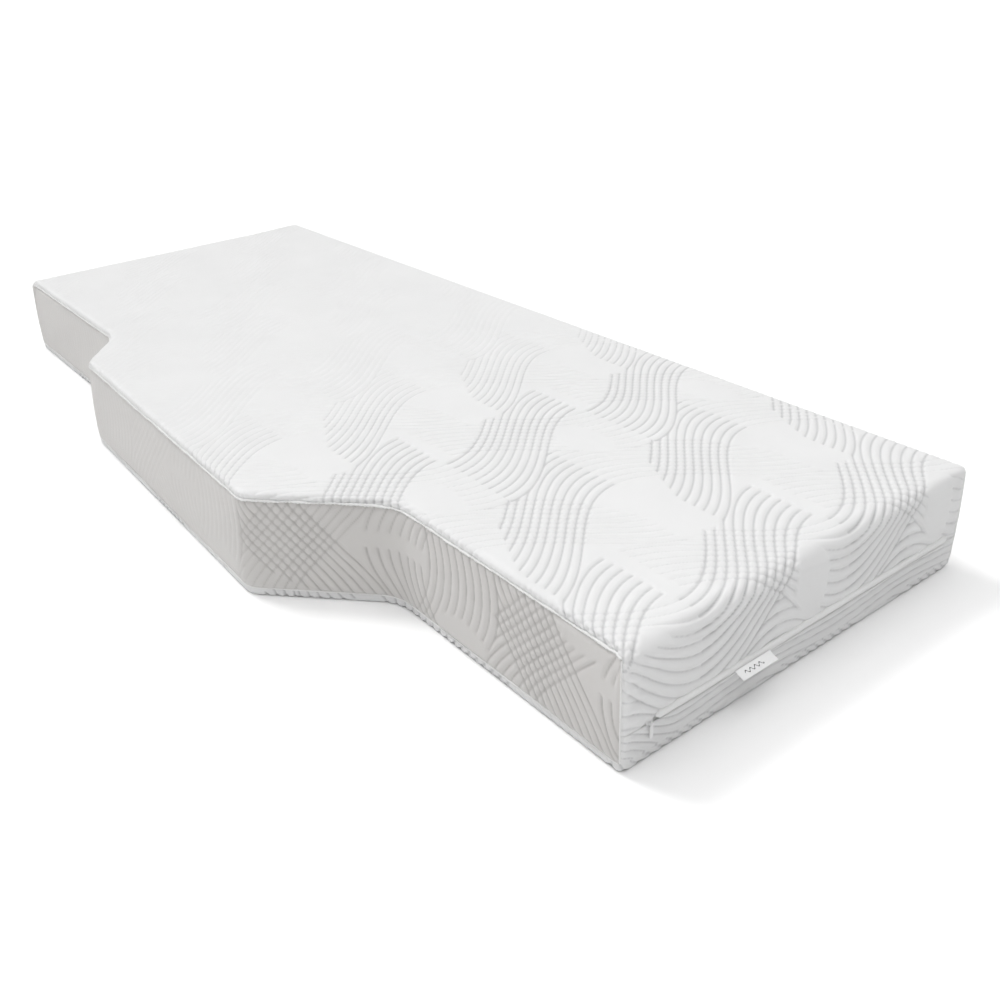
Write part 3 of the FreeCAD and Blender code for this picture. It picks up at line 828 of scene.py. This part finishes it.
def column_path(cols, z, proud):
    """Points at a height on columns, proud of the surface, with their ways out and up."""
    n = plan.normal[cols]
    reach = (EDGE - inset_at(z, plan, cols)) * plan.reach[cols] + proud
    path = np.column_stack([plan.base[cols] + n * reach[:, None], z])
    return path, np.column_stack([n, np.zeros(len(cols))]), np.tile([0.0, 0, 1], (len(cols), 1))


def top_welt(side, cols):
    path, out, up = column_path(cols, np.full(len(cols), SIDE_SEAM_Z), -0.0012)
    run = plan.run[cols]
    path[:, 2] += 0.0006 * (noise(run, 0 * run, 0.05, 51) + 0.9 * noise(run, 0 * run, 0.0085, 57))
    piece = sweep(f"welt_top_{side}", path, out, up, oval(0.0019, 0.0016), SEAM, swell=0.32, seed=52)
    finish_piece(piece, "mattress", "seam_fold", f"seam_top_{side}")


def low_welt(side, cols, seed):
    path, out, up = column_path(cols, np.full(len(cols), LOW_SEAM_Z), -0.0014)
    piece = sweep(f"welt_bottom_{side}", path, out, up, oval(0.0014, 0.0011), SEAM, swell=0.15, seed=seed)
    finish_piece(piece, "mattress", "seam_fold", f"seam_bottom_{side}")


def corner_seam(name, column):
    z = np.linspace(LOW_SEAM_Z + 0.0015, SIDE_SEAM_Z - 0.001, 70)
    path, out, up = column_path(np.full(len(z), column), z, -0.0008)
    piece = sweep(f"corner_seam_{name}", path, out, np.cross(out, up), oval(0.0012, 0.0011), SEAM,
                  swell=0.12, seed=60)
    finish_piece(piece, "mattress", "seam_fold", f"seam_corner_{name}")


for side, cols in (("left", plan.side_left), ("right", plan.side_right)):
    top_welt(side, cols)
    low_welt(side, cols, 54)
low_welt("head", plan.head, 56)
corner_seam("foot_right", plan.side_right[0])
corner_seam("head_right", plan.side_right[-1])
corner_seam("head_left", plan.side_left[0])
corner_seam("foot_left", plan.side_left[-1])


# ---- zip ----
TAPE_WIDTH, TAPE_ENDS = 0.016, (-0.648, -0.022)
FOLD_ENDS, FOLD_TAPER = (-0.627, -0.028), 0.008
FOLD = [                # y and z of the fold's section, from its sewn edge over and back under
    (0.0030, 0.0655), (0.0012, 0.0664), (-0.0004, 0.0666), (-0.0019, 0.0660), (-0.0031, 0.0645),
    (-0.0038, 0.0622), (-0.0040, 0.0600), (-0.0038, 0.0584), (-0.0033, 0.0577),
    (-0.0028, 0.0583), (-0.0026, 0.0600), (-0.0022, 0.0620), (-0.0014, 0.0634),
]


def foot_strip(name, xs, section, material, wobble=0.0, seed=1, **ends):
    """A strip along the foot face, its section drawn in y and z."""
    path = np.column_stack([xs, 0 * xs, 0 * xs])
    path[:, 1] += wobble * noise(xs, 0 * xs, 0.035, seed)
    path[:, 2] += wobble * noise(xs, 0 * xs, 0.050, seed + 1)
    ones = np.ones((len(xs), 1))
    return sweep(name, path, ones * [[0, 1.0, 0]], ones * [[0, 0, 1.0]], section, material, **ends)


def slab(line, thick):
    """The closed section of a thin strip that follows a line."""
    line = np.array(line)
    d = np.gradient(line, axis=0)
    n = np.column_stack([-d[:, 1], d[:, 0]]) / np.linalg.norm(d, axis=1)[:, None] * thick / 2
    return [tuple(p) for p in np.concatenate([line + n, (line - n)[::-1]])]


def zip_tape(name, low_z):
    line = [(0.0043 + 0.0001 * math.sin(6 * k), low_z + TAPE_WIDTH * k) for k in np.linspace(0, 1, 9)]
    piece = foot_strip(f"zip_tape_cloth_{name}", np.linspace(*TAPE_ENDS, 313), slab(line, 0.0006), TAPE)
    finish_piece(piece, "mattress", "zip_tape", f"zip_tape_{name}")


def zip_fold():
    """The folded strip over the zip, with closer points where its ends narrow."""
    left, right = FOLD_ENDS
    xs = np.concatenate([
        np.linspace(left, left + FOLD_TAPER, 9)[:-1],
        np.linspace(left + FOLD_TAPER, right - FOLD_TAPER, 290),
        np.linspace(right - FOLD_TAPER, right, 9)[1:],
    ])
    piece = foot_strip("zip_fold", xs, slab(FOLD, 0.0007), SEAM, wobble=0.0003, seed=70,
                       taper=0.007, tip=0.02)
    finish_piece(piece, "mattress", "seam_fold", "zip_flap")


zip_tape("upper", 0.057)
zip_tape("lower", 0.039)
zip_fold()


# ---- label ----
LABEL_X, HINGE_Y, HINGE_Z = -0.460, -0.0052, 0.0600
LABEL_WIDTH, LABEL_DROP = 0.065, 0.0155
LABEL_ROWS = 42


def side_label():
    """A folded ribbon, sewn in at its top. It stands out, curls down, and has a woven zigzag."""
    steps = np.linspace(0, 1, LABEL_ROWS)
    angle = math.radians(50) + math.radians(24) * ramp(steps, 0.0, 0.7)
    way = np.column_stack([-np.sin(angle), -np.cos(angle)])
    facing = np.column_stack([-np.cos(angle), np.sin(angle)])
    away = np.concatenate([[[0, 0]], np.cumsum(way[:-1] * LABEL_DROP / (LABEL_ROWS - 1), axis=0)])
    front, back = away + facing * 0.00033, away - facing * 0.00027
    turn = np.linspace(0, math.pi, 7)[1:-1]
    tip = away[-1] + 0.00030 * (np.cos(turn)[:, None] * facing[-1] + np.sin(turn)[:, None] * way[-1])
    line = np.concatenate([front, tip, back[::-1]])
    share = np.concatenate([steps, np.ones(len(tip)), steps[::-1]])

    across = np.linspace(-LABEL_WIDTH / 2, LABEL_WIDTH / 2, 131)
    wave = 0.0004 * np.sin(across / LABEL_WIDTH * 7)[:, None] * share[None]
    middle_way = facing[20]
    co = np.stack([
        LABEL_X + across[:, None] + 0 * line[None, :, 0],
        HINGE_Y + line[None, :, 0] + wave * middle_way[0],
        HINGE_Z + line[None, :, 1] + wave * middle_way[1],
    ], -1)

    u, v = np.meshgrid(across, share * LABEL_DROP, indexing="ij")
    zigzag = np.abs(v - 0.0078 - 0.0022 * np.sin(u * 2 * math.pi / 0.0085)) < 0.0008
    on_front = (np.arange(len(line)) < LABEL_ROWS)[None]
    mark = zigzag & (u > -0.022) & (u < 0.012) & on_front
    sheet = Sheet()
    sheet.skin(sheet.add(co, np.stack([u, v], -1), np.where(mark, 0.0, 1.0)), flip=True)
    piece = sheet.make("folded_side_label", RIBBON)
    finish_piece(piece, "label", "label_ribbon", "side_label")


side_label()


# ---- foam and its sock ----
def block(name, heights, gap, soft, material, node, slot=None):
    """A soft block that lies a gap inside the cover, with its low and high edges rounded."""
    low_z, high_z = heights
    soft_low, soft_high = soft
    sheet = Sheet()
    caps = []
    for z, flip in ((high_z, False), (low_z, True)):
        flat = np.stack([core.x, core.y], -1)
        ids = sheet.add(np.stack([core.x, core.y, np.full(core.x.shape, z)], -1), flat)
        sheet.skin(ids.T, flip=flip)
        caps.append(ids)
    t = np.linspace(0, math.pi / 2, 5)
    straight = np.linspace(high_z - soft_high, low_z + soft_low, 12)[1:-1]
    z = np.concatenate([high_z - soft_high * (1 - np.cos(t)), straight, low_z + soft_low * (1 - np.sin(t))])
    back = np.concatenate([soft_high * (1 - np.sin(t)), np.zeros(10), soft_low * (1 - np.cos(t))])
    z, back = z[:, None] + np.zeros((1, core.total)), back[:, None]
    cols = np.arange(core.total)
    inset = np.minimum(inset_at(z, core, cols), SIDE_LEAN + 0.004) + gap + back
    inset = np.minimum(inset, EDGE - 0.0005)
    zero = np.zeros_like(z)
    co = column_points(core, cols, inset, z, zero, zero, zero)
    ids = sheet.add(co, np.stack([core.run[None] + zero, z], -1))
    rows = np.concatenate([caps[0].flat[core.rim][None], ids, caps[1].flat[core.rim][None]])
    sheet.skin(rows[:, core.ring])
    piece = finish_piece(sheet.make(name, material), "mattress", slot or node, node)


block("base_foam_block", (0.009, 0.1108), 0.0085, (0.003, 0.001), BASE_FOAM, "base_foam")
block("memory_foam_layer", (0.1112, 0.161), 0.0085, (0.001, 0.004), MEMORY_FOAM, "memory_foam")
block("inner_sock_cloth", (0.0078, 0.1622), 0.0072, (0.003, 0.004), SOCK, "inner_sock", "sock_knit")

# ---- hard zip parts, kept from the design ----
for name, material in (("zip_slider", PAINTED), ("zip_puller", PAINTED), ("zip_stop_left", PAINTED),
                       ("zip_stop_right", PAINTED), ("zip_coil_upper", NYLON), ("zip_coil_lower", NYLON)):
    part = bpy.data.objects[name].data
    part.materials.clear()
    part.materials.append(material)

# ---- camera, floor and light ----
scene = bpy.context.scene


def place_in_scene(name, data):
    thing = bpy.data.objects.new(name, data)
    scene.collection.objects.link(thing)
    return thing


def add_camera():
    """The view fitted to the mattress's edges in the photograph."""
    data = bpy.data.cameras.new("camera")
    cam = place_in_scene("camera", data)
    data.sensor_width, data.lens = 36.0, 37.63
    data.clip_start, data.clip_end = 0.02, 60
    azimuth, elevation, roll = math.radians(36.766), math.radians(28.908), math.radians(-2.7476)
    level = math.cos(elevation)
    ahead = np.array([math.sin(azimuth) * level, math.cos(azimuth) * level, -math.sin(elevation)])
    right = np.cross(ahead, [0, 0, 1.0])
    right /= np.linalg.norm(right)
    upward = np.cross(right, ahead)
    rolled_right = math.cos(roll) * right + math.sin(roll) * upward
    rolled_up = -math.sin(roll) * right + math.cos(roll) * upward
    place = ORIGIN + np.array([-1.321511, -0.650324, 0.874412])
    matrix = Matrix.Identity(4)
    for k, column in enumerate((rolled_right, rolled_up, -ahead, place)):
        for row in range(3):
            matrix[row][k] = column[row]
    cam.matrix_world = matrix
    scene.camera = cam


def add_floor():
    """A level floor whose far edge curves up."""
    around, flat_out, curve = 96, 24, np.linspace(0, math.pi / 2, 12)
    reach = np.concatenate([[0.05, 4, 9, 16], flat_out + 8 * np.sin(curve)])
    rise = np.concatenate([np.zeros(4), 6 * (1 - np.cos(curve))])
    a = np.linspace(0, 2 * math.pi, around, endpoint=False)
    co = np.stack([np.cos(a) * reach[:, None], np.sin(a) * reach[:, None], rise[:, None] + 0 * a], -1)
    ids = np.arange(len(reach) * around).reshape(len(reach), around)
    ids = np.concatenate([ids, ids[:, :1]], 1)
    quads = np.stack([ids[:-1, :-1], ids[1:, :-1], ids[1:, 1:], ids[:-1, 1:]], -1).reshape(-1, 4)
    mesh = bpy.data.meshes.new("floor")
    mesh.from_pydata(co.reshape(-1, 3).tolist(), [], quads.tolist() + [ids[0, :around].tolist()])
    mesh.polygons.foreach_set("use_smooth", np.ones(len(mesh.polygons), bool))
    mesh.materials.append(floor_material())
    place_in_scene("floor", mesh)


def add_sky():
    """Bright overhead and dim near the horizon, so that the walls are darker than the top."""
    world = bpy.data.worlds.new("studio")
    world.use_nodes = True
    nodes, links = world.node_tree.nodes, world.node_tree.links
    direction = nodes.new("ShaderNodeTexCoord")
    axes = nodes.new("ShaderNodeSeparateXYZ")
    links.new(direction.outputs["Generated"], axes.inputs[0])
    overhead = nodes.new("ShaderNodeMapRange")
    overhead.interpolation_type = "SMOOTHSTEP"
    for key, value in (("From Min", 0.50), ("From Max", 1.0), ("To Min", 0.04), ("To Max", 2.10)):
        overhead.inputs[key].default_value = value
    links.new(axes.outputs["Z"], overhead.inputs["Value"])
    links.new(overhead.outputs["Result"], nodes["Background"].inputs["Strength"])
    nodes["Background"].inputs["Color"].default_value = (1.0, 1.0, 1.0, 1)
    scene.world = world


def add_light(name, kind, towards, **settings):
    data = bpy.data.lights.new(name, kind)
    for key, value in settings.items():
        setattr(data, key, value)
    lamp = place_in_scene(name, data)
    lamp.rotation_mode = "QUATERNION"
    lamp.rotation_quaternion = Vector(towards).to_track_quat("-Z", "Y")
    return lamp


add_camera()
add_floor()
add_sky()
add_light("key", "SUN", (0.12, -0.58, -0.80), energy=1.20, angle=math.radians(16))
fill = add_light("fill", "AREA", (1.6, 1.5, -1.0), shape="DISK", size=1.2, energy=3.0)
fill.location = (-2.2, -1.5, 1.1)
scene.view_settings.view_transform = "Standard"
